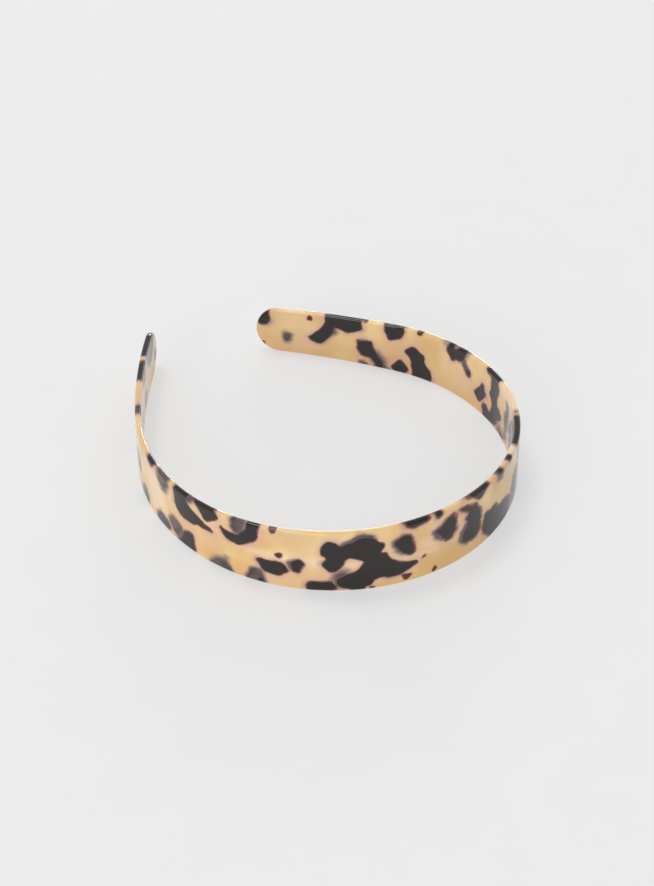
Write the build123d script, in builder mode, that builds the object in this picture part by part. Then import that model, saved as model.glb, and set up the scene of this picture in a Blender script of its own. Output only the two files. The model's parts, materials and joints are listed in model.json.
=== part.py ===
"""Tortoiseshell acetate headband: one flat strip of cellulose acetate, cut out, polished and bent hot.

The strip stands on its straight long edge. The crown, the middle of the strip, is at -Y, and the two
arms run towards +Y and curl in towards each other, the right one a little more than the left one.
The origin is at the middle of the bounding box, on the surface that the band stands on. +Z is up.

The real band is a single springy strip. Here it is cut at the crown into two halves that turn about
an upright axis on the strip's middle line, so that the spreading of the arms can be a hinge. The
right half ends there in a round knuckle, which turns in a hollow in the end of the left half.
"""
import os
from math import cos, degrees, radians, sin

from build123d import *

os.makedirs("parts", exist_ok=True)

# ---- Driving dimensions: millimetres and degrees ----

strip_thickness = 2.2          # the acetate sheet
half_length = 197.0            # from the crown's middle to one tip, along the middle of the sheet
crown_width = 25.0             # height of the standing strip at the crown
tip_width = 18.0               # the same at the depth of the further tip
tip_corner_round = 8.7         # the tips are almost full round
edge_round = 0.8               # polishing rounds every long edge

crown_radius = 63.5            # bends, all measured to the middle of the sheet
right_crown_turn = 49.0
right_shoulder_radius = 63.5
right_shoulder_turn = 80.0
left_crown_turn = 70.0
left_shoulder_radius = 76.0
left_shoulder_turn = 43.5
arm_radius = 260.0             # both arms are almost straight towards their tips

knuckle_clearance = 0.1        # radial gap between the knuckle and its hollow
lip_share = 0.6                # the hollow's lips are cut back by this share of the knuckle's radius

# ---- Sizes that follow ----

half_thickness = strip_thickness / 2
knuckle_radius = half_thickness                              # a full round on the end of the strip
hollow_radius = knuckle_radius + knuckle_clearance
crown_overlap = 2 * strip_thickness                          # the left half is made this far past the crown, then cut
overlap_turn = degrees(crown_overlap / crown_radius)
long_edge_round = min(edge_round, 0.4 * strip_thickness)     # leaves a narrow flat between two rounds
tip_round = min(tip_corner_round, 0.485 * tip_width)         # leaves a short flat at the very tip


def bends(crown_turn, shoulder_radius, shoulder_turn):
    """The three bends of one half, as (radius, turn) pairs. The arm uses up the rest of the strip."""
    crown_run = crown_radius * radians(crown_turn)
    shoulder_run = shoulder_radius * radians(shoulder_turn)
    arm_turn = degrees((half_length - crown_run - shoulder_run) / arm_radius)
    return [(crown_radius, crown_turn), (shoulder_radius, shoulder_turn), (arm_radius, arm_turn)]


right_bends = bends(right_crown_turn, right_shoulder_radius, right_shoulder_turn)
left_bends = bends(left_crown_turn, left_shoulder_radius, left_shoulder_turn)


def face_line(strip_bends, side, outward, early_turn):
    """Draw one face of a half as tangent arcs, outward of the middle of the sheet, and return its ends.

    side is 1 for the half that leaves the crown towards +X, and -1 for the other one. The line starts
    early_turn degrees before the crown's middle, on the other half's side.
    """
    first_radius = crown_radius + outward
    start = Vector(
        -side * first_radius * sin(radians(early_turn)),
        crown_radius - first_radius * cos(radians(early_turn)),
    )
    point = start
    heading = Vector(side * cos(radians(early_turn)), -sin(radians(early_turn)))
    extra_turn = early_turn
    for radius, turn in strip_bends:
        arc = JernArc(point, heading, radius + outward, side * (turn + extra_turn))
        point = arc @ 1
        heading = arc % 1
        extra_turn = 0
    return start, point


def draw_plan(strip_bends, side, early_turn=0):
    """Draw the closed outline of one half as seen from above. The crown's middle is at (0, 0).

    A half that starts right at the crown's middle has a full round there, which is the knuckle.
    """
    outer_start, outer_end = face_line(strip_bends, side, half_thickness, early_turn)
    inner_start, inner_end = face_line(strip_bends, side, -half_thickness, early_turn)
    if early_turn:
        Line(outer_start, inner_start)
    else:
        ThreePointArc(outer_start, (-side * knuckle_radius, 0), inner_start)
    Line(outer_end, inner_end)


# ---- Where the crown's middle lies, so that the origin is at the middle of the band's box ----

with BuildSketch() as whole_plan:
    with BuildLine():
        draw_plan(right_bends, 1)
    make_face()
    with BuildLine():
        draw_plan(left_bends, -1, overlap_turn)
    make_face()
plan_box = whole_plan.sketch.bounding_box()
crown_x = -plan_box.center().X
crown_y = -plan_box.center().Y
crown_plan = Plane(origin=(crown_x, crown_y, 0))
crown_side = Plane(origin=(crown_x, crown_y, 0), x_dir=(0, 1, 0), z_dir=(1, 0, 0))
front = plan_box.min.Y
back = plan_box.max.Y
side_reach = plan_box.size.X


def draw_side():
    """Draw the band's outline as seen from one side: straight below, tapering above towards the tips."""
    Polyline(
        (front, 0),
        (back, 0),
        (back, tip_width),
        (front, crown_width),
        close=True,
    )


def tip_corners(half):
    """The two edges across the thickness at a half's square tip, one above and one below."""
    edges = half.edges().filter_by(lambda edge: abs(edge.length - strip_thickness) < 0.1 * strip_thickness)
    level = edges.filter_by(lambda edge: abs((edge % 0.5).Z) < 0.2)
    return level.filter_by(lambda edge: (edge @ 0.5).Y > crown_y + crown_radius)


def long_edges(half):
    """The edges that run along the strip and round its tip, which polishing rounds off."""

    def runs_along(edge):
        upright = abs((edge % 0.5).Z) > 0.9
        if upright:
            return edge.length < 0.4 * tip_width
        return edge.length > 1.3 * strip_thickness

    return half.edges().filter_by(runs_along)


def add_strip(half, strip_bends, side, early_turn=0):
    """Add one half of the strip: bent, tapered, with a round tip and polished edges."""
    with BuildSketch(crown_plan) as plan:
        with BuildLine():
            draw_plan(strip_bends, side, early_turn)
        make_face()
    extrude(plan.sketch, amount=crown_width)
    with BuildSketch(crown_side) as outline:
        with BuildLine():
            draw_side()
        make_face()
    extrude(outline.sketch, amount=side_reach, both=True, mode=Mode.INTERSECT)
    fillet(tip_corners(half), radius=tip_round)
    fillet(long_edges(half), radius=long_edge_round)


# ---- The right half, with the knuckle at the crown ----

with BuildPart() as band_right:
    add_strip(band_right, right_bends, 1)
band_right.part.label = "band_right"

# ---- The left half, with the hollow that the knuckle turns in ----

with BuildPart() as band_left:
    add_strip(band_left, left_bends, -1, overlap_turn)
    with BuildSketch(crown_plan):
        with Locations((crown_overlap - lip_share * knuckle_radius, 0)):
            Rectangle(2 * crown_overlap, 4 * strip_thickness)
        Circle(hollow_radius)
    extrude(amount=crown_width, mode=Mode.SUBTRACT)
band_left.part.label = "band_left"

export_step(band_right.part, "parts/band_right.step")
export_step(band_left.part, "parts/band_left.step")

for half in (band_right, band_left):
    box = half.part.bounding_box()
    print(half.part.label, "solids", len(half.part.solids()), "volume", round(half.part.volume, 1))
    print("  from", [round(value, 3) for value in box.min], "to", [round(value, 3) for value in box.max])
print("crown axis at", round(crown_x, 3), round(crown_y, 3))
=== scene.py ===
# %% [markdown]
# # A tortoiseshell headband
#
# The real thing is one strip of cellulose acetate: cut flat from a sheet, tumbled until every edge is
# round and the faces shine, then bent hot round a former. This lesson builds it in the same order.
# We cut a flat blank, draw the dark chips that lie in the sheet, bend it, and polish it.
#
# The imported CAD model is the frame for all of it. Everything is in metres, and the band stands on
# z = 0 with the crown at -Y and the two arms running towards +Y.

import json
import math

import bmesh
import bpy
import numpy as np
from mathutils import Matrix, Vector


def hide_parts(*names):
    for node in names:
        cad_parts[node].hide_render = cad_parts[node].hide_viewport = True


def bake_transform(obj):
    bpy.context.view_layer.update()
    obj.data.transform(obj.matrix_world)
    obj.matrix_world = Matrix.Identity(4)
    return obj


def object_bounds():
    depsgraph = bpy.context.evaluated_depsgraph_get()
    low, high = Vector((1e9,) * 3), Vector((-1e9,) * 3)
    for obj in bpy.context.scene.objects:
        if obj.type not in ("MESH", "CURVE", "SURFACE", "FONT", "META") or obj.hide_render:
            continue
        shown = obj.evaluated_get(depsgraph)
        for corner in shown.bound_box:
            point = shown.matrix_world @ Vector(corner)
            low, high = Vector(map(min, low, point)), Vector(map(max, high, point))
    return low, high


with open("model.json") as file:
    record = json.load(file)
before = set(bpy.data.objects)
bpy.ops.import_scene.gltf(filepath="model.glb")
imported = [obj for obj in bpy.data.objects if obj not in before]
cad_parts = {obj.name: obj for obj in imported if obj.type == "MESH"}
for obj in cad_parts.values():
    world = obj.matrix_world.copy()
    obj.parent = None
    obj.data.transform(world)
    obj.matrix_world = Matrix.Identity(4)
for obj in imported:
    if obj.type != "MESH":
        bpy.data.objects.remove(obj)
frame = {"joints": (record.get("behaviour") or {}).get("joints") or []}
cad_low, cad_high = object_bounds()
print("CAD box in mm:", [round(v * 1000, 1) for v in cad_high - cad_low])

# %% [markdown]
# ## The sizes of the strip
#
# A maker would note the blank first: the sheet's thickness, the length from the middle to a tip, the
# width at the middle and at the tips. Then come the bends. Each half is three arcs that run smoothly
# into each other: the crown, the shoulder, and an arm that is almost straight. The right arm curls in
# a little more than the left one, so the two halves have lists of their own. They could share one list
# and be mirrored, but a hand-bent band is never quite even, and the eye notices that.

# %% Sizes and bends
MM = 0.001
THICKNESS = 2.2 * MM
HALF_LENGTH = 197 * MM
CROWN_WIDTH = 25 * MM
TIP_WIDTH = 18 * MM
EDGE_ROUND = 0.8 * MM

crown_place = Vector(frame["joints"][0]["pos_m"])
CROWN_RADIUS, ARM_RADIUS = 63.5 * MM, 260 * MM
ARM_TURN = 60        # degrees; more than the arm needs, because the tip ends it first
RIGHT_BENDS = [(CROWN_RADIUS, 49), (63.5 * MM, 80), (ARM_RADIUS, ARM_TURN)]    # radius, turn in degrees
LEFT_BENDS = [(CROWN_RADIUS, 70), (76 * MM, 43.5), (ARM_RADIUS, ARM_TURN)]
print("crown's middle in mm:", [round(v * 1000, 2) for v in crown_place])

# %% [markdown]
# ## Bending, as a rule
#
# A bend is easiest as a function: how far along the strip, how far outside the middle of the sheet,
# and it answers where that point lies seen from above. The strip's middle line is a chain of arcs, so
# each arc only has to know its centre and the heading at its start. A Curve modifier would bend it
# too, but only near enough, and one function serves the band and anything printed on it.

# %% The bending rule
def bend_half(run, outside, bends, side):
    """Where points `run` along one half and `outside` the sheet's middle lie, seen from above."""
    x, y = np.zeros_like(run), np.zeros_like(run)
    point, heading, start = np.array(crown_place.xy), 0.0, 0.0
    for radius, turn in bends:
        centre = point + radius * np.array([-side * math.sin(heading), math.cos(heading)])
        here = run >= start
        angle = heading + (run[here] - start) / radius
        x[here] = centre[0] + side * (radius + outside[here]) * np.sin(angle)
        y[here] = centre[1] - (radius + outside[here]) * np.cos(angle)
        heading += math.radians(turn)
        start += radius * math.radians(turn)
        point = centre + radius * np.array([side * math.sin(heading), -math.cos(heading)])
    return x, y


def bend_strip(along, outside):
    """The same for the whole strip: `along` is positive on the right half and negative on the left."""
    right = bend_half(np.abs(along), outside, RIGHT_BENDS, 1)
    left = bend_half(np.abs(along), outside, LEFT_BENDS, -1)
    return (np.where(along >= 0, r, l) for r, l in zip(right, left))


def width_at(along):
    """The strip's width: seen from the side its upper edge is straight, and highest at the crown."""
    _, y = bend_strip(along, np.zeros_like(along))
    share = (y - cad_low.y) / (cad_high.y - cad_low.y)
    return CROWN_WIDTH + (TIP_WIDTH - CROWN_WIDTH) * share


ends = np.array([-HALF_LENGTH, 0, HALF_LENGTH])
print("width at the tips and crown in mm:", (width_at(ends) / MM).round(2))

# %% [markdown]
# ## The flat blank
#
# The blank is a long lozenge with full round ends. A grid is the natural start, because the bend needs
# many short columns and the drawing of the chips needs an even mesh. The grid's square becomes a strip
# in the middle, and at both ends a half disc, by the old trick that maps a square onto a round.
#
# The polished edge isn't bevelled afterwards. The rim is extruded in five small steps along a quarter
# circle, which is what a round edge is, and then down to the middle of the sheet. Mirroring that half
# through the sheet gives the other face, and the two meet in one closed skin.

# %% One face of the blank
COLUMNS, ROWS = 640, 40
tip_run = HALF_LENGTH - TIP_WIDTH / 2      # where the round ends begin
blank = bmesh.new()
bmesh.ops.create_grid(blank, x_segments=COLUMNS, y_segments=ROWS, size=1)
grid = np.array([v.co for v in blank.verts])

side, grid_run = np.sign(grid[:, 0]), np.abs(grid[:, 0]) * HALF_LENGTH
round_share = np.clip((grid_run - tip_run) / (HALF_LENGTH - tip_run), 0, 1)
straight = np.minimum(grid_run, tip_run) * side
half_width = width_at(straight) / 2
disc_x = round_share * np.sqrt(1 - grid[:, 1] ** 2 / 2)
disc_z = grid[:, 1] * np.sqrt(1 - round_share ** 2 / 2)
half_face = half_width - EDGE_ROUND        # the flat face ends where the round edge begins
face_along = straight + side * disc_x * (HALF_LENGTH - tip_run - EDGE_ROUND)
face_up = half_width + disc_z * half_face
for vert, x, z in zip(blank.verts, face_along, face_up):
    vert.co = (x, -THICKNESS / 2, z)
print("flat face:", len(blank.verts), "points,", round(np.ptp(face_along) / MM, 1), "mm long")

# %% The polished edge, and the other face
EDGE_STEPS = 5
MERGE = MM / 1000    # points nearer than this are one point


def grow_rim(mesh, outward, inward):
    """Extrude the open edge once, `outward` in the sheet's plane and `inward` through the sheet."""
    rim = [e for e in mesh.edges if e.is_boundary]
    way_out = {}
    for edge in rim:
        a, b = (v.co for v in edge.verts)
        away = Vector((b.z - a.z, 0, a.x - b.x)).normalized()
        if away.dot(edge.link_faces[0].calc_center_median() - (a + b) / 2) > 0:
            away.negate()
        for vert in edge.verts:
            way_out[vert] = way_out.get(vert, Vector()) + away
    places = {tuple(v.co): d.normalized() for v, d in way_out.items()}
    grown = bmesh.ops.extrude_edge_only(mesh, edges=rim)["geom"]
    for vert in (g for g in grown if isinstance(g, bmesh.types.BMVert)):
        vert.co += places[tuple(vert.co)] * outward + Vector((0, inward, 0))


for step in range(EDGE_STEPS):
    before, after = (math.radians(90 * k / EDGE_STEPS) for k in (step, step + 1))
    grow_rim(blank, EDGE_ROUND * (math.sin(after) - math.sin(before)),
             EDGE_ROUND * (math.cos(before) - math.cos(after)))
grow_rim(blank, 0, THICKNESS / 2 - EDGE_ROUND)
bmesh.ops.mirror(blank, geom=blank.verts[:] + blank.edges[:] + blank.faces[:], matrix=Matrix.Identity(4),
                 merge_dist=MERGE, axis="Y")
bmesh.ops.remove_doubles(blank, verts=blank.verts, dist=MERGE)
bmesh.ops.recalc_face_normals(blank, faces=blank.faces)
print("blank:", len(blank.faces), "faces, open edges:", sum(e.is_boundary for e in blank.edges))

# %% [markdown]
# ## The band as an object
#
# The blank becomes an object while it is still flat, and each point keeps its place on the strip, in
# millimetres along, up and through, because the chips belong to the sheet and bend with it. The real
# band flexes all along its crown, not at one line.


def flat_object(name, mesh):
    """Make an object of a flat piece, with its placing applied to its mesh."""
    data = bpy.data.meshes.new(name)
    mesh.to_mesh(data)
    mesh.free()
    piece = bpy.data.objects.new(name, data)
    bpy.context.scene.collection.objects.link(piece)
    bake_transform(piece)
    return piece


def points_of(piece):
    """The places of a piece's points, as rows of x, y and z."""
    return np.array([v.co for v in piece.data.vertices])


def keep(piece, name, kind, key, values):
    """Store one value for each point of a piece, for its material to read."""
    layer = piece.data.attributes.new(name, kind, "POINT")
    layer.data.foreach_set(key, np.asarray(values, np.float32).ravel())


band = flat_object("headband", blank)
flat = points_of(band)
along, through, up = flat[:, 0] / MM, -flat[:, 1] / MM, flat[:, 2] / MM
keep(band, "sheet_place", "FLOAT_VECTOR", "vector", np.stack([along, up, through], 1))
print("band:", len(flat), "points,", round(float(np.ptp(through)), 2), "mm thick")

# %% [markdown]
# ## Where the dark chips lie
#
# Tortoiseshell acetate starts as blocks of honey, brown and black plastic, broken up, pressed together
# and sliced into sheets. So the dark patches are chips cut through at random: islands with clear
# outlines on one face, a little softer on the other, and with a smoky hem where a chip thins out.
#
# Noise alone gives patches of one size, all alike. Real ones differ, and a maker lays out the good
# ones on the crown. So here each chip is drawn one by one, as a maker would mark them on a paper strip:
# millimetres along from the crown's middle, and millimetres up from the lower edge. An outline may
# run off the strip, where the chip was cut through with the sheet.

# %% The chips on the outer face of the crown
OUTER_CHIPS = [    # how soft the outline is in mm, then the outline
    (.3, [(-36.5, 17), (-36, 19.5), (-34.5, 21.5), (-32, 21), (-30.5, 19.5), (-29.5, 19), (-27, 20.5),
          (-24.5, 22), (-21, 22.5), (-18.5, 21.5), (-18, 20), (-16, 19), (-16, 18), (-17, 16.5), (-17, 15),
          (-15, 15), (-14.5, 13), (-12.5, 11), (-10, 9.5), (-7.5, 8.5), (-4.5, 8.5), (-4, 7.5), (-6.5, 6),
          (-9, 5), (-10.5, 4), (-13, 4), (-16.5, 5), (-18.5, 4), (-20.5, 2), (-22, 2), (-22, -1), (-26, -1),
          (-26.5, 1.5), (-30, 1.5), (-31, 3), (-31, 6), (-28, 7), (-25.5, 8), (-23.5, 10), (-22, 12),
          (-23.5, 13), (-26, 14), (-27.5, 14.5), (-29, 13), (-29.5, 11), (-31, 9), (-34, 8.5), (-35, 10),
          (-36, 11), (-35, 13), (-35, 15), (-36.5, 16)]),
    (.4, [(-41, .5), (-41, 2.5), (-40, 4), (-33, 4.5), (-32, 3), (-31.5, 1), (-33, .5), (-40, 0)]),
    (.4, [(-45.5, 9), (-45.5, 8), (-44, 7.5), (-43, 8), (-42, 10), (-42, 12), (-43.5, 13), (-44.5, 12.5),
          (-45.5, 11.5)]),
    (.5, [(-10, 20.5), (-7, 20), (-6.5, 18), (-5.5, 15), (-5.5, 13), (-6.5, 12), (-8, 12), (-9.5, 13.5),
          (-11.5, 16), (-12, 18), (-11, 19.5)]),
    (.5, [(-9, 25.5), (-8, 23.5), (-5, 23), (-2, 23.5), (0, 24.5), (.5, 27), (-8.5, 27)]),
    (.5, [(2, 27), (2.5, 24), (3.5, 23), (4.5, 24), (5, 27)]),
    (.6, [(2.5, 17.5), (4.5, 19), (6.5, 21), (8.5, 22), (10.5, 21), (10.5, 18), (10, 16), (11, 15),
          (10, 13.5), (7, 12), (5.5, 13.5), (4.5, 15), (3.5, 16.5)]),
    (.4, [(14, 27), (15, 25), (18.5, 24), (20, 22.5), (21.5, 21.5), (23.5, 22.5), (25.5, 24), (27, 24.5),
          (27, 27)]),
    (.6, [(12, 22), (13, 22.5), (15, 22.5), (17, 21), (20, 20.5), (20.5, 18.5), (22, 16.5), (23, 14),
          (22, 11.5), (22.5, 8.5), (21, 6.5), (18.5, 6), (15.5, 6.5), (13.5, 8.5), (14.5, 11), (16, 12.5),
          (16, 15), (15, 16.5), (16.5, 18.5), (15.5, 20), (13.5, 21)]),
    (.5, [(24.5, 11.5), (26, 13), (28.5, 12.5), (31, 13), (32.5, 11), (33.5, 10), (36.5, 10.5), (39, 10),
          (41, 9), (44, 7), (44.5, 3), (42, 1), (38, -1), (30, -1), (28, 1.5), (26, 3.5), (24, 5)]),
    (.4, [(41, 27), (41.5, 24), (43, 23), (44, 24), (44.5, 27)]),
    (.4, [(33.5, 27), (34, 24), (35, 22.5), (36, 23), (36.5, 27)]),
    (.6, [(46, 13), (50, 15), (55, 14), (60, 15.5), (64, 13), (63, 8), (60, 4), (55, 2), (50, 3), (47, 7)]),
    (.3, [(-71.5, 18.5), (-70, 17.5), (-64.5, 17.5), (-63, 18.5), (-62, 20.5), (-61.5, 22.5), (-60.5, 24.5),
          (-60, 26), (-57, 26), (-57, 22), (-58, 17.5), (-60, 16), (-62.5, 14.5), (-64, 13.5), (-68.5, 14),
          (-70, 16)]),
    (.3, [(-93, 26), (-93, 17), (-91.5, 14), (-89, 12.5), (-86, 12), (-84, 12.5), (-81.5, 13.5),
          (-79.5, 13), (-77, 14), (-74, 13.5), (-76, 15), (-78, 15.5), (-79.5, 16.5), (-81, 17),
          (-83, 17.5), (-85, 18.5), (-87, 20.5), (-86, 22.5), (-84, 23.5), (-82, 22.5), (-80, 20.5),
          (-79, 19), (-78.5, 18), (-77, 17), (-74.5, 19), (-72, 21), (-73, 22.5), (-75, 23.5), (-76, 26)]),
    (.5, [(-115, 24), (-113, 20.5), (-109, 20), (-107, 22), (-106.5, 24)]),
    (.4, [(-83, -1), (-83, 5), (-84, 7.5), (-86.5, 7.5), (-88.5, 6), (-89, 3), (-91.5, 1), (-93.5, -1)]),
    (.3, [(-58, 10.5), (-49, 10.5), (-48, 9), (-47, 7), (-48, 6), (-51, 5), (-54, 5), (-56, 6), (-57, 8)]),
    (.4, [(-57, 2.5), (-55.5, 2), (-55, -1), (-57.5, -1)]),
]
print(len(OUTER_CHIPS), "chips drawn on the outer face")

# %% The chips on the inner face of the right arm
INNER_CHIPS = [
    (.4, [(90, 25), (90, 20), (89, 17.5), (90, 15), (91, 12), (91, 11), (88, 10.5), (86, 9), (87, 7),
          (89.5, 5.5), (90, 3.5), (92, 1.5), (95, 1), (97, .5), (100, .5), (100.5, 3), (100.5, 5.5),
          (98, 6), (96.5, 4.5), (94.5, 5.5), (94, 8), (94.5, 10.5), (96, 13), (95, 17), (95, 19.5),
          (96, 21), (98.5, 20.5), (99, 25)]),
    (.3, [(101, 14), (102, 12.5), (104, 10), (106, 7.5), (105, 6), (103, 5), (102, 6), (100.5, 8),
          (98.5, 10.5), (100, 11.5)]),
    (.4, [(120, 22.5), (121, 18.5), (119, 15), (118, 15), (116.5, 16.5), (114.5, 16), (113, 17), (112, 20),
          (111.5, 22), (109.5, 24), (109.5, 27), (113.5, 27), (113.5, 24), (115, 21.5), (117, 19.5),
          (118.5, 21.5)]),
    (.4, [(111.5, 14), (110.5, 12), (109, 11.5), (108.5, 13), (109, 14.5), (110.5, 15)]),
    (.3, [(136.5, 13), (138.5, 11.5), (139, 10), (137.5, 8.5), (136, 6.5), (136, 3), (135.5, -1), (129, -1),
          (127.5, 2.5), (128, 4.5), (129.5, 6), (131, 8), (131, 10.5), (133, 12), (134.5, 13)]),
    (.3, [(141, 6), (142.5, 4.5), (144.5, 2), (143, .5), (140.5, -.5), (139, .5), (137.5, 2.5),
          (138.5, 4.5)]),
    (.3, [(139.5, 23), (140, 17.5), (140.5, 16), (142.5, 14.5), (145.5, 14), (146.5, 15.5), (147.5, 18.5),
          (148, 23)]),
    (.4, [(152, 11), (155, 11.5), (158, 10.5), (158, 9), (157, 5), (156, 4), (153, 4.5), (151.5, 3),
          (150.5, 0), (149.5, -1), (147.5, -1), (148.5, 3.5), (150.5, 6.5), (151.5, 8)]),
    (.3, [(156, 22), (156.5, 18), (156.5, 15.5), (159.5, 14.5), (162.5, 13), (164.5, 14), (166.5, 15),
          (167.5, 13.5), (168, 12), (169.5, 9.5), (171.5, 7), (174, 6.5), (176, 7), (177, 8.5), (175, 10),
          (173, 12), (172, 13), (171, 15), (170, 17), (170.5, 22)]),
    (.4, [(192.5, 18), (192.5, 16), (191.5, 14), (193, 12), (194.5, 11.5), (196, 12.5), (197.5, 14),
          (195, 18)]),
    (.8, [(154.5, .5), (155.5, 1.5), (156.5, 1), (155.5, 0)]),
    (.4, [(73.5, 11), (74, 13.5), (75.5, 14), (77, 12), (76, 10.5), (74.5, 10)]),
    (.4, [(50, 27), (52, 22), (55, 12), (60, 4), (66, 2), (71.5, 5), (72, 9), (71, 13), (70, 17),
          (68.5, 21), (66, 27)]),
    (.4, [(69, 27), (69.5, 24), (70.5, 24), (71, 27)]),
]
print(len(INNER_CHIPS), "chips drawn on the inner face")

# %% The chips on the left arm
LEFT_ARM_CHIPS = [
    (.4, [(-189.5, 20), (-189.5, 12), (-188, 10.5), (-183, 9.5), (-179, 11.5), (-176, 14.5), (-175, 20)]),
    (.4, [(-171.5, 20), (-172, 15), (-168, 12.5), (-163.5, 13.5), (-160.5, 16), (-159.5, 20)]),
    (.6, [(-143, 15), (-146, 9), (-148.5, 3), (-145, 1), (-142, 4), (-140, 12)]),
    (.3, [(-158, 3), (-156.5, 8), (-153, 9.5), (-151, 7), (-152, 3), (-155, 1.5)]),
    (.4, [(-131, 11), (-128, 14.5), (-124, 14), (-121.5, 10.5), (-123.5, 7), (-128.5, 7)]),
    (.4, [(-121, -1), (-120.5, 4), (-117, 6), (-113.5, 5), (-112.5, -1)]),
    (.3, [(-171, 3), (-169.5, 7), (-165.5, 8), (-163.5, 5), (-166, 2)]),
    (.8, [(-194, 6), (-193.5, 8), (-192, 7.5), (-192.5, 5)]),
]
print(len(LEFT_ARM_CHIPS), "chips drawn on the left arm")

# %% [markdown]
# ## The smoke and the flecks
#
# Between the chips the honey isn't clean. Thin slices of brown show as a grey purple smoke without a
# clear outline, and small splinters of a redder brown lie here and there, with a few paler streaks. The
# long pale streak along the middle of the crown is a painted reflection. They are drawn the same way as
# the chips: the smoke and the streaks with soft outlines, and the splinters with crisp ones.

# %% Smoke, flecks, pale streaks and a painted reflection
SMOKE = [
    (1.2, [(-31.5, 2), (-32.5, 6), (-30, 9), (-26, 7), (-27, 3)]),
    (1.5, [(44, 3), (46, 12), (52, 14), (60, 14), (66, 12), (66, 2), (56, -1), (46, -1)]),
    (.8, [(-66.5, 26), (-67, 21), (-66, 18.5), (-63, 18), (-62, 21), (-61.5, 26)]),
    (1.2, [(-106, 26), (-105, 20), (-101.5, 16), (-98, 17), (-97, 20), (-97, 26)]),
    (.7, [(-97, 7), (-95, 9), (-92, 8.5), (-89, 7), (-88, 2), (-90, 0), (-93, 2), (-96, 4)]),
    (.7, [(-106, 2), (-104, 5), (-100.5, 5.5), (-97, 5), (-96, 2), (-99, -1), (-104, -1)]),
    (.6, [(-62, 1), (-61, 4.5), (-58.5, 6.5), (-56, 6), (-55, 2), (-55, -1), (-61, -1)]),
    (.6, [(-31, 19), (-28, 22), (-23.5, 24), (-19.5, 23.5), (-18.5, 20), (-24, 18)]),
    (.6, [(-11.5, 20.5), (-13.5, 17.5), (-12, 14), (-9, 12), (-7, 14), (-8, 20)]),
    (.6, [(4, 20), (1, 17.5), (2, 14.5), (5, 12.5), (7, 15), (7, 19)]),
    (.6, [(13.5, 13), (12, 9), (14, 6), (17, 5), (17, 11), (15.5, 16)]),
    (1., [(77, 19), (77.5, 14), (78.5, 8), (80, 3), (84, 1), (82.5, 6), (82, 14), (81, 19)]),
    (1., [(82, 2.5), (84, 4), (88, 4), (90, 2.5), (89, 1), (84, .5)]),
    (1.2, [(110.5, 24), (111.5, 19), (113, 16.5), (114.5, 17), (113.5, 20), (113, 24)]),
    (1., [(166, 12), (165.5, 14.5), (168, 16), (169.5, 13.5), (168.5, 11)]),
    (.8, [(-77, -1), (-75, 3), (-72, 5), (-69, 6), (-67.5, 4), (-67, -1)]),
    (.8, [(-88, 25), (-88, 21), (-85.5, 20), (-83, 22), (-83, 25)]),
    (1.2, [(-144, 22), (-144, 15), (-142, 8), (-139.5, 13), (-138, 22)]),
    (.9, [(-192, 20), (-192, 15), (-189, 12), (-187, 20)]),
    (.5, [(-47.5, 11.5), (-47.5, 9.5), (-46.5, 8), (-44.5, 8), (-44.5, 12.5)]),
    (.5, [(-74, -1), (-72.5, 2), (-69.5, 3.5), (-68, 2), (-68, -1)]),
    (.3, [(183.5, 7.5), (184.2, 9.3), (185.7, 9.1), (186.4, 7.4), (185.9, 5.5), (184.5, 5.3)]),
    (.5, [(114.5, 18), (112.5, 14.5), (111, 12.5), (109, 12), (109.5, 15), (111, 17), (112, 19)]),
    (1.5, [(114, 27), (115, 22), (117, 20), (119, 22), (122, 22), (122, 27)]),
    (.9, [(151.5, 8), (152.5, 4), (151.5, .5), (151, -1), (144.5, -1), (146, 2), (147.5, 5), (149, 7.5)]),
    (.8, [(31.5, 26), (32, 22), (34, 20.5), (36, 21.5), (36.5, 26)]),
    (.8, [(183, 7.5), (183.8, 9.4), (185.4, 9.8), (187, 8.6), (186.9, 6.4), (185.4, 4.9), (183.6, 5.6)]),
    (1., [(71, 18), (76, 14), (76, 6), (72, 3), (66, 8), (66, 17)]),
]
FLECKS = [
    (.3, [(-10, 4), (-6, 3.5), (-7, 2.5), (-8.5, 1), (-9.5, 2.5)]),
    (.3, [(1.5, 1.5), (2, 3), (3, 2), (2.5, 1)]),
    (.3, [(-2.5, 8.5), (-2, 9.5), (-1, 9)]),
    (.3, [(-20.5, 1.5), (-19, 1), (-19.5, 0), (-20.5, .5)]),
    (.3, [(-51.5, 13.5), (-50, 15), (-49, 14), (-49.5, 12.5), (-50.5, 12.5)]),
    (.3, [(-54, 26), (-53.5, 23.5), (-52.5, 22), (-51, 23.5), (-51, 26)]),
    (.3, [(175, 16), (176.5, 18.5), (177.5, 17), (177, 16)]),
    (.4, [(194, 2), (194, 4), (195, 4), (195, 2)]),
    (.4, [(132, 22), (132.5, 19.5), (134, 19.5), (134.5, 22)]),
    (.4, [(153.5, 22), (154, 19.5), (155.5, 19.5), (155.5, 22)]),
]
# The first two streaks, along the middle of the crown, are a painted reflection band; the others are paler
# patches in the honey.
PALE_STREAKS_AND_REFLECTION = [
    (1.6, [(-64, 14), (-40, 13.5), (-15, 12.5), (3, 11.5), (3, 9.5), (-15, 10), (-40, 11), (-64, 12)]),
    (1.5, [(-4, 17), (3, 15.5), (3, 12), (-3, 11.5)]),
    (2., [(-112, 4), (-112, 22), (-104, 21), (-99, 12), (-98, 4)]),
    (1.5, [(66, 26), (69, 16), (84, 16), (91, 26)]),
    (1.5, [(41, 24), (52, 18), (60, 18), (60, 26), (41, 28)]),
]
print(len(SMOKE), "patches of smoke,", len(FLECKS), "flecks,", len(PALE_STREAKS_AND_REFLECTION), "pale streaks")

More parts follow.
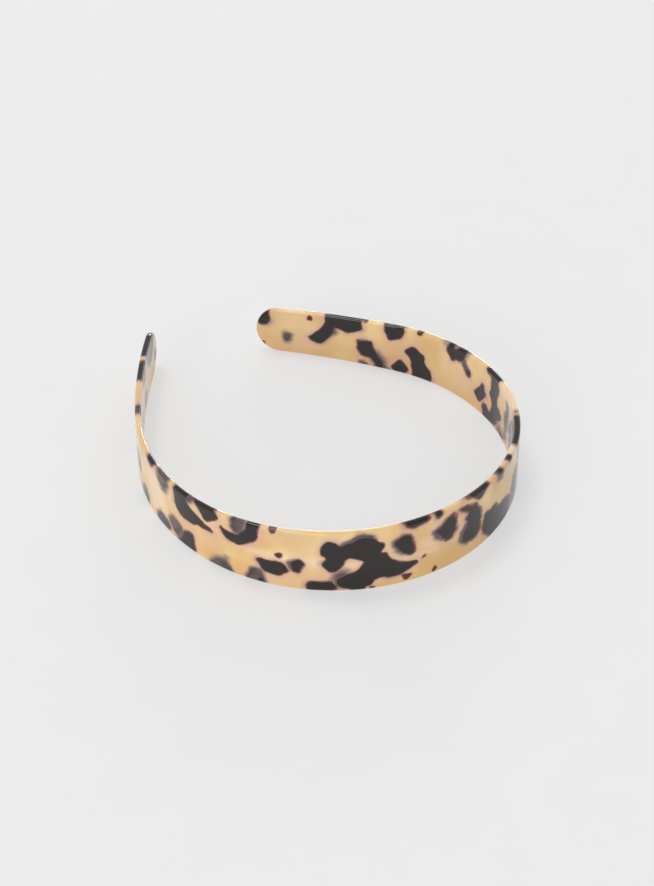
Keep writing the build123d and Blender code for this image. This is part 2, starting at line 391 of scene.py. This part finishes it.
# %% [markdown]
# ## From outlines to the mesh
#
# The outlines could be cut into the mesh, but then every chip would need clean edges of its own. It is
# enough that each point of the mesh knows how deep inside a chip it lies, in units of that outline's
# softness. Between points the number runs straight, so the outline stays crisp where the material
# cuts it off, even though the mesh is coarse. Corners are cut first, because a broken chip has few
# sharp ones, and a slow wobble bends all outlines a little. Points outside also keep how far off the
# nearest chip is, because the honey is tinted round a chip.
#
# A chip goes through the sheet, so it shows on both faces, but it was drawn on one of them. On the
# other face its outline is shifted and softer. And because chips lie at a slant, one side of each
# runs out thin under the honey: that is the hem, the same outlines moved along the strip and blurred.

# %% How deep inside a chip
REACH = 6.0          # mm round an outline in which it matters
DEEPEST = 4.0        # softnesses in from the outline, and out from it, at which the depth stops
CORNER_CUT = 0.23    # how much of a side is cut off at each of its ends


def round_off(outline):
    """Cut off each corner, as with scissors."""
    line = np.array(outline, float)
    after = np.roll(line, -1, 0)
    most = 1 - CORNER_CUT
    return np.stack([most * line + CORNER_CUT * after, CORNER_CUT * line + most * after], 1).reshape(-1, 2)


def depth_inside(points, outline):
    """Millimetres inside a closed outline, and less than zero outside it."""
    line = round_off(outline)
    nearest, inside = np.full(len(points), np.inf), np.zeros(len(points), bool)
    for a, b in zip(line, np.roll(line, -1, 0)):
        step, to_point = b - a, points - a
        share = np.clip(to_point @ step / (step @ step), 0, 1)
        nearest = np.minimum(nearest, np.hypot(*(to_point - share[:, None] * step).T))
        crosses = (a[1] > points[:, 1]) != (b[1] > points[:, 1])
        if a[1] != b[1]:
            inside ^= crosses & (points[:, 0] < a[0] + step[0] * (points[:, 1] - a[1]) / step[1])
    return np.where(inside, nearest, -nearest)


def lay(chips, points, softer=0.0):
    """For each point, the depth in the deepest of these chips, and the millimetres to the nearest one."""
    softer = np.broadcast_to(softer, len(points))
    cover, gap = np.full(len(points), -DEEPEST), np.full(len(points), REACH)
    for softness, outline in chips:
        low, high = np.min(outline, 0) - REACH, np.max(outline, 0) + REACH
        near = np.flatnonzero(np.all((points > low) & (points < high), 1))
        inside = depth_inside(points[near], outline)
        soft = softness + softer[near]
        cover[near] = np.maximum(cover[near], np.clip(inside / soft, -DEEPEST, DEEPEST))
        gap[near] = np.minimum(gap[near], np.clip(-inside, 0, REACH))
    return cover, gap


# %% Lay the chips into the band
WOBBLE = 0.2                          # mm that the outlines are bent aside
SLANT = np.array([0.4, -0.3])         # mm along and up, from a chip's drawn face to its other face
OTHER_FACE_BLUR = 0.25                # mm
HEM_SHIFT = np.array([-0.9, -0.3])    # mm along and up, the way the chips run out
HEM_BLUR = 0.5                        # mm

bent_aside = np.stack([np.sin(1.1 * up + 0.5 * along), np.sin(0.9 * along + 0.6 * up)], 1)
drawn = np.stack([along, up], 1) + WOBBLE * bent_aside
deep = through / (THICKNESS / 2 / MM)    # 1 on the outer face, -1 on the inner one
from_outside, from_inside = (1 - deep) / 2, (1 + deep) / 2

drawn_outside = OUTER_CHIPS + LEFT_ARM_CHIPS
outer_cover, outer_gap = lay(drawn_outside, drawn + np.outer(from_outside, SLANT),
                             OTHER_FACE_BLUR * from_outside)
inner_cover, inner_gap = lay(INNER_CHIPS, drawn + np.outer(from_inside, SLANT),
                             OTHER_FACE_BLUR * from_inside)
hem, _ = lay(drawn_outside + INNER_CHIPS, drawn - HEM_SHIFT, HEM_BLUR)
cover = np.maximum(outer_cover, inner_cover)
keep(band, "hem", "FLOAT", "value", hem)
keep(band, "chip", "FLOAT", "value", cover)
keep(band, "chip_gap", "FLOAT", "value", np.minimum(outer_gap, inner_gap))
for name, patches in (("smoke", SMOKE), ("fleck", FLECKS), ("pale", PALE_STREAKS_AND_REFLECTION)):
    keep(band, name, "FLOAT", "value", lay(patches, drawn)[0])
print("dark share of the band:", round(float((cover > 0).mean()), 3))

# %% [markdown]
# ## Bend it
#
# Now the strip goes round the former. Every point keeps its height and moves to where the bending
# rule says, and the band's box can be compared with the CAD model's straight away.

# %% Bend the strip
def bend_piece(piece):
    """Bend a flat piece to the strip's shape, and turn its faces outwards again."""
    places = points_of(piece)
    places[:, 0], places[:, 1] = bend_strip(places[:, 0], -places[:, 1])
    piece.data.vertices.foreach_set("co", places.astype(np.float32).ravel())
    mesh = bmesh.new()
    mesh.from_mesh(piece.data)
    bmesh.ops.recalc_face_normals(mesh, faces=mesh.faces)
    for face in mesh.faces:
        face.smooth = True
    mesh.to_mesh(piece.data)
    mesh.free()
    piece.data.update()


bend_piece(band)
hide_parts("band_right", "band_left")
bent = points_of(band)
print("band in mm:", (bent.min(0) / MM).round(2), (bent.max(0) / MM).round(2))

# %% [markdown]
# ## A small stamp inside the right arm
#
# Bands of this kind carry a tiny foil stamp inside one arm. Ours is plain: a row of small lozenges.
# They could be drawn in the band's material, but then their edges would be as coarse as its mesh. So
# each is cut as a thin four-sided plate, a few hundredths of a millimetre thick and half sunk in the
# face, made flat and bent with the same rule as the band.

# %% The foil stamp
STAMP_AT, STAMP_HEIGHT, FOIL = 77 * MM, 6 * MM, 0.06 * MM
LOZENGES = ((-4, .35), (-2.2, .7), (0, 1.0), (2.2, .7), (4, .35))    # mm along from the middle, radius
stamp = bmesh.new()
for offset, radius in LOZENGES:
    corners = bmesh.ops.create_circle(stamp, cap_ends=True, segments=4, radius=radius * MM)["verts"]
    bmesh.ops.rotate(stamp, verts=corners, matrix=Matrix.Rotation(math.radians(90), 3, "X"))
    bmesh.ops.translate(stamp, verts=corners,
                        vec=(STAMP_AT + offset * MM, THICKNESS / 2 - FOIL / 2, STAMP_HEIGHT))
grown = bmesh.ops.extrude_face_region(stamp, geom=stamp.faces[:])["geom"]
bmesh.ops.translate(stamp, verts=[g for g in grown if isinstance(g, bmesh.types.BMVert)], vec=(0, FOIL, 0))
bmesh.ops.recalc_face_normals(stamp, faces=stamp.faces)
foil = flat_object("foil_stamp", stamp)
keep(foil, "sheet_place", "FLOAT_VECTOR", "vector", points_of(foil) / MM)
bend_piece(foil)
print("foil stamp:", len(foil.data.polygons), "faces")

# %% [markdown]
# ## Writing materials as sums
#
# A material is a small calculation at each point of the surface. Node by node that is hard to read, so
# this one class wraps a socket and lets us write `1 - mask` or `a * b`, and each operator adds its
# Math node. Any other node comes from `node`, which sets the node's own settings first. An input is
# called by its name, or by its number where several share a name: `i0`, `i1` and so on.

# %% A socket that can be added and multiplied
class Wire:
    """One output socket, which adds Math nodes when it is used in a sum."""

    tree = None

    def __init__(self, socket):
        self.socket = socket

    @classmethod
    def node(cls, kind, settings=None, output=0, **inputs):
        """Add a node, set its settings, give its inputs values or links, and return one output."""
        made = cls.tree.nodes.new(kind)
        for name, value in (settings or {}).items():
            setattr(made, name, value)
        for name, value in inputs.items():
            socket = made.inputs[int(name[1:]) if name[1:].isdigit() else name]
            if isinstance(value, Wire):
                cls.tree.links.new(value.socket, socket)
            else:
                socket.default_value = value
        return cls(made.outputs[output])

    @staticmethod
    def maths(operation, first, second):
        """Add a Math node on two values or links."""
        return Wire.node("ShaderNodeMath", {"operation": operation}, i0=first, i1=second)

    def __add__(self, other):
        return Wire.maths("ADD", self, other)

    def __radd__(self, other):
        return Wire.maths("ADD", other, self)

    def __sub__(self, other):
        return Wire.maths("SUBTRACT", self, other)

    def __rsub__(self, other):
        return Wire.maths("SUBTRACT", other, self)

    def __mul__(self, other):
        return Wire.maths("MULTIPLY", self, other)

    def __rmul__(self, other):
        return Wire.maths("MULTIPLY", other, self)


print("sums of sockets ready")

# %% Helpers for the nodes that are used most
NUMBER, VECTOR = 2, 1    # the Attribute node's outputs


def attribute(name, output=NUMBER):
    """What the band keeps at each point."""
    return Wire.node("ShaderNodeAttribute", {"attribute_name": name}, output)


def spread(value, low, high):
    """0 below `low`, 1 above `high`, and a smooth rise between them."""
    return Wire.node("ShaderNodeMapRange", {"interpolation_type": "SMOOTHSTEP"}, i0=value, i1=low, i2=high)


def grain(place, size, detail=2.0, stretch=(1, 1, 1)):
    """Soft noise, 0 to 1, with features about `size` mm across."""
    scaled = Wire.node("ShaderNodeVectorMath", {"operation": "MULTIPLY"}, i0=place,
                       i1=[s / size for s in stretch])
    return Wire.node("ShaderNodeTexNoise", Vector=scaled, Scale=1.0, Detail=detail, Roughness=0.5)


def blend_colour(share, first, second):
    """`first` where share is 0, `second` where it is 1."""
    first, second = ((*c, 1) if isinstance(c, tuple) else c for c in (first, second))
    return Wire.node("ShaderNodeMix", {"data_type": "RGBA"}, 2, i0=share, i6=first, i7=second)


def new_material(name):
    """A material with an empty Principled shader, ready to be wired."""
    made = bpy.data.materials.new(name)
    made.use_nodes = True
    Wire.tree = made.node_tree
    return made, made.node_tree.nodes["Principled BSDF"]


def feed(shader, name, wire):
    """Link a wire to one of a shader's inputs."""
    Wire.tree.links.new(wire.socket, shader.inputs[name])


def set_values(shader, values):
    """Set the inputs that are the same all over the surface."""
    for name, value in values.items():
        shader.inputs[name].default_value = value


print("helpers ready")

# %% [markdown]
# ## The acetate
#
# The honey isn't one colour: the sheet is cloudy, paler in some places and peach in others. Near the
# lower edge it turns darker and more orange in patches, and that is painted shade, because the lower
# part of the band gets less light. The pale band along the middle of the crown is a painted reflection.
# A chip's outline goes through pink and red brown before it is dark, because there it is thin enough to
# let light through. The dark itself is a very deep brown and never black. So the colours are laid
# over each other as they are seen through the sheet: honey, tint, smoke, hems, flecks and chips. One
# ramp from honey to dark would be shorter, but then smoke and chips would look alike.
#
# Acetate shines like glass from the tumbling, with a slight unevenness left by it, and light enters
# the honey a little way, so a small share of scattering under the surface keeps it from looking
# painted.

# %% Colours of the sheet
HONEY = (.68, .43, .175)
PALE_HONEY = (.79, .58, .28)
# the colour of the painted shade near the lower edge
SHADED_ORANGE_HONEY = (.66, .36, .105)
PEACH = (.72, .48, .30)
# the colour of the paler streaks and of the painted reflection band on the crown
STREAK_AND_REFLECTION_PALE = (.86, .68, .53)
MAUVE = (.64, .395, .31)
RED_BROWN = (.20, .034, .025)
FLECK_BROWN = (.075, .012, .008)
SMOKY_MAUVE = (.33, .21, .19)
SMOKY_DARK = (.030, .020, .024)
DARK = (.008, .005, .004)
print("dark against honey:", round(sum(DARK) / sum(HONEY), 3))

# %% The honey
# Painted shade: the honey is darker and more orange near the lower edge, where the band gets less light.
LOWER_SHADE_RISE = 14    # mm up from the lower edge, where the orange has faded out
LOWER_SHADE_SHARE, PEACH_SHARE, STREAK_AND_REFLECTION_SHARE = .8, .5, .5

acetate, shader = new_material("tortoiseshell_acetate")
place = attribute("sheet_place", VECTOR)
above_edge = Wire.node("ShaderNodeSeparateXYZ", None, 1, Vector=place)
clouds = spread(grain(place, 22, 3, (1, .8, .5)), .38, .62)
honey = blend_colour(clouds, HONEY, PALE_HONEY)
# Painted shade: darker, more orange honey in patches near the lower edge, fading out upwards.
lower_painted_shade = (1 - spread(above_edge, 0, LOWER_SHADE_RISE)) * spread(grain(place, 18, 2, (.7, 1, .5)), .32, .62)
honey = blend_colour(lower_painted_shade * LOWER_SHADE_SHARE, honey, SHADED_ORANGE_HONEY)
peach = spread(grain(place, 13, 2, (.6, 1, .5)), .45, .65)
honey = blend_colour(peach * PEACH_SHARE, honey, PEACH)
# Painted reflection: a pale band along the middle of the crown, laid in with the paler streaks.
honey = blend_colour(spread(attribute("pale"), -1.5, 1.5) * STREAK_AND_REFLECTION_SHARE, honey, STREAK_AND_REFLECTION_PALE)
print("honey:", len(acetate.node_tree.nodes), "nodes")

# %% The tint round the chips, and the smoke
TINT_REACH = 3    # mm from a chip, where the honey is clean again
HEM_SHARE = .35
HEM_RAG, FLECK_RAG, CHIP_RAG = .8, .6, 2.4    # how much the raggedness moves each outline

ragged = grain(place, 1.7, 4) - 0.5
patchy = spread(grain(place, 7, 2), .4, .62)
near_chip = (1 - spread(attribute("chip_gap"), 0.2, TINT_REACH)) * (.46 + .44 * patchy)
tinted = blend_colour(near_chip, honey, MAUVE)


def add_smoke(amount, under, strength):
    """Smoke is mauve where it is thin and dark where it is thick."""
    thin = blend_colour(spread(amount, -2.2, .2) * strength, under, SMOKY_MAUVE)
    return blend_colour(spread(amount, -1, 1.2) * strength, thin, SMOKY_DARK)


streaky = (grain(place, 3, 3, (.4, 1, 1)) - 0.5) * 4
smoke = attribute("smoke") + streaky
tinted = add_smoke(smoke, tinted, .80 + .18 * patchy)
hem = attribute("hem")
thins_out = .25 + .72 * patchy
tinted = add_smoke(hem + ragged * HEM_RAG, tinted, thins_out * HEM_SHARE)
print("with tint and smoke:", len(acetate.node_tree.nodes), "nodes")

# %% The flecks and the chips
fleck = attribute("fleck")
tinted = blend_colour(spread(fleck, -2, -.6) * .8, tinted, RED_BROWN)
tinted = blend_colour(spread(fleck + ragged * FLECK_RAG, -.8, .3), tinted, FLECK_BROWN)

chip = attribute("chip") + ragged * CHIP_RAG
soft_side = spread(hem, -.5, .8) * thins_out     # 1 where a chip runs out thin, and fades over a wide band
rim_share = (.7 + .3 * spread(grain(place, 4, 2), .4, .6)) * (1 - .8 * soft_side)
in_the_clear = 1 - spread(smoke, -1, .5)
rim = blend_colour(spread(chip, -2.1, -0.7) * (rim_share * in_the_clear), tinted, RED_BROWN)
surface = blend_colour(spread(chip, -0.6 - 2.9 * soft_side, 0.8), rim, DARK)
feed(shader, "Base Color", surface)
print("acetate colours wired:", len(acetate.node_tree.nodes), "nodes")

# %% The polish
SHEEN, SHEEN_VARIES = 0.04, 0.07    # the lowest roughness, and how much it rises in places

feed(shader, "Roughness", SHEEN + SHEEN_VARIES * grain(place, 9, 3))
ripple = Wire.node("ShaderNodeBump", Strength=0.12, Distance=0.0004, Height=grain(place, 7, 2))
feed(shader, "Normal", ripple)
set_values(shader, {"IOR": 1.52, "Subsurface Weight": 0.25, "Subsurface Radius": (1.0, 0.5, 0.25),
                    "Subsurface Scale": 0.0012})
band.data.materials.append(acetate)
print("acetate:", len(acetate.node_tree.nodes), "nodes")

# %% [markdown]
# ## The foil
#
# Hot foil is a film of metal, pressed on with a heated die. It is pale and slightly broken up, because
# the face under it isn't perfectly flat. One fine noise drives both its colour and its roughness, so
# that the worn spots are darker and duller together.

# %% The foil's finish
BRIGHT_FOIL, WORN_FOIL = (.80, .74, .62), (.62, .50, .36)

metal, shader = new_material("stamped_foil")
worn = grain(attribute("sheet_place", VECTOR), .5, 3)
feed(shader, "Base Color", blend_colour(spread(worn, .45, .7), BRIGHT_FOIL, WORN_FOIL))
feed(shader, "Roughness", 0.25 + 0.3 * worn)
set_values(shader, {"Metallic": 0.9})
foil.data.materials.append(metal)
print("foil:", len(metal.node_tree.nodes), "nodes")

# %% [markdown]
# ## The studio
#
# The band stands on a light table in a tent. A light table glows a little itself, so the shadow on
# it stays faint. The tent is bright all round, except at the front, where it is open to a darker room:
# that opening is what draws the thin black lines on polished rims. One panel at the back is brighter,
# and a long low lamp in front of it draws a thin white line along the rim. A lamp above and a little
# behind lays the shadow in front of the band, and a broad one at the front left fills the faces. Lamps
# alone would leave polished faces dull between their reflections, which is why there is a tent.

# %% Floor
PAPER_GLOW = .53
PAPER_GREY, PAPER_LIGHT = (.28, .28, .28), (.30, .30, .30)
FLOOR_REACH = 6    # metres from the middle to each side

floor_mesh = bmesh.new()
bmesh.ops.create_grid(floor_mesh, x_segments=1, y_segments=1, size=FLOOR_REACH)
floor_data = bpy.data.meshes.new("floor")
floor_mesh.to_mesh(floor_data)
floor_mesh.free()
floor = bpy.data.objects.new("floor", floor_data)
bpy.context.scene.collection.objects.link(floor)
paper, shader = new_material("studio_paper")
in_metres = Wire.node("ShaderNodeTexCoord", None, 3)    # Object coordinates
feed(shader, "Base Color", blend_colour(grain(in_metres, .02, 2), PAPER_GREY, PAPER_LIGHT))
set_values(shader, {"Roughness": 0.9, "Specular IOR Level": 0.0, "Emission Color": (1, 1, 1, 1),
                    "Emission Strength": PAPER_GLOW})
floor.data.materials.append(paper)
print("floor ready")

# %% The tent
TENT_LIGHT = .70
ROOM_SIDE, ROOM_DIMS = (-.49, -.87, 0), .65      # where the tent is open, and how much light that takes
PANEL_SIDE, PANEL_ADDS = (.60, .80, 0), 1.5      # where the bright panel hangs, and what it adds


def towards(way, side):
    """1 in the direction of `side`, 0 square to it."""
    return Wire.node("ShaderNodeVectorMath", {"operation": "DOT_PRODUCT"}, 1, i0=way, i1=side)


world = bpy.data.worlds.new("light_tent")
world.use_nodes = True
bpy.context.scene.world = world
Wire.tree = world.node_tree
way = Wire.node("ShaderNodeTexCoord", None, 0)    # in a world this is the direction looked in
rise = Wire.node("ShaderNodeSeparateXYZ", None, 2, Vector=way)
dark_room = spread(towards(way, ROOM_SIDE), .05, .5) * spread(rise, .25, .5)
panel_height = spread(rise, .04, .08) * (1 - spread(rise, .40, .48))
bright_panel = spread(towards(way, PANEL_SIDE), .80, .90) * panel_height
tent = world.node_tree.nodes["Background"]
set_values(tent, {"Color": (1, 1, 1, 1)})
feed(tent, "Strength", TENT_LIGHT * (1 - ROOM_DIMS * dark_room + PANEL_ADDS * bright_panel))
print("tent ready")

# %% The lamps
def soft_lamp(name, place, width, height, watts):
    """A flat lamp that looks at the band."""
    data = bpy.data.lights.new(name, "AREA")
    data.shape = "RECTANGLE"
    data.size, data.size_y, data.energy = width, height, watts
    lamp = bpy.data.objects.new(name, data)
    lamp.location = place
    lamp.rotation_mode = "QUATERNION"
    lamp.rotation_quaternion = (-Vector(place)).to_track_quat("-Z", "Y")
    bpy.context.scene.collection.objects.link(lamp)


soft_lamp("key", (-.3, .9, 2.8), width=.8, height=.8, watts=24)
soft_lamp("fill", (-2.2, -1.7, .8), width=1.8, height=1.8, watts=44)
soft_lamp("rim", (1.52, 1.89, .62), width=1.0, height=.3, watts=18)
bpy.context.scene.view_settings.view_transform = "Standard"
print("studio ready")

# %% [markdown]
# ## The camera
#
# The camera looks down on the band from the front and a little from the left, from not quite 80 cm.
# The lens is long, because a short one close by would draw the near side of the loop too large.

# %% Camera
AIM = Vector((.0015, -.0057, .0069))
AZIMUTH, ELEVATION, DISTANCE = math.radians(-29.25), math.radians(37.93), .788
LENS, SENSOR = 91.08, 36    # mm

back = Vector((math.sin(AZIMUTH) * math.cos(ELEVATION), -math.cos(AZIMUTH) * math.cos(ELEVATION),
               math.sin(ELEVATION)))
lens = bpy.data.cameras.new("camera")
lens.lens, lens.sensor_width = LENS, SENSOR
lens.clip_start, lens.clip_end = .05, 20
camera = bpy.data.objects.new("camera", lens)
camera.location = AIM + back * DISTANCE
camera.rotation_mode = "QUATERNION"
camera.rotation_quaternion = (-back).to_track_quat("-Z", "Y")
bpy.context.scene.collection.objects.link(camera)
bpy.context.scene.camera = camera
print("camera at", [round(v, 3) for v in camera.location])
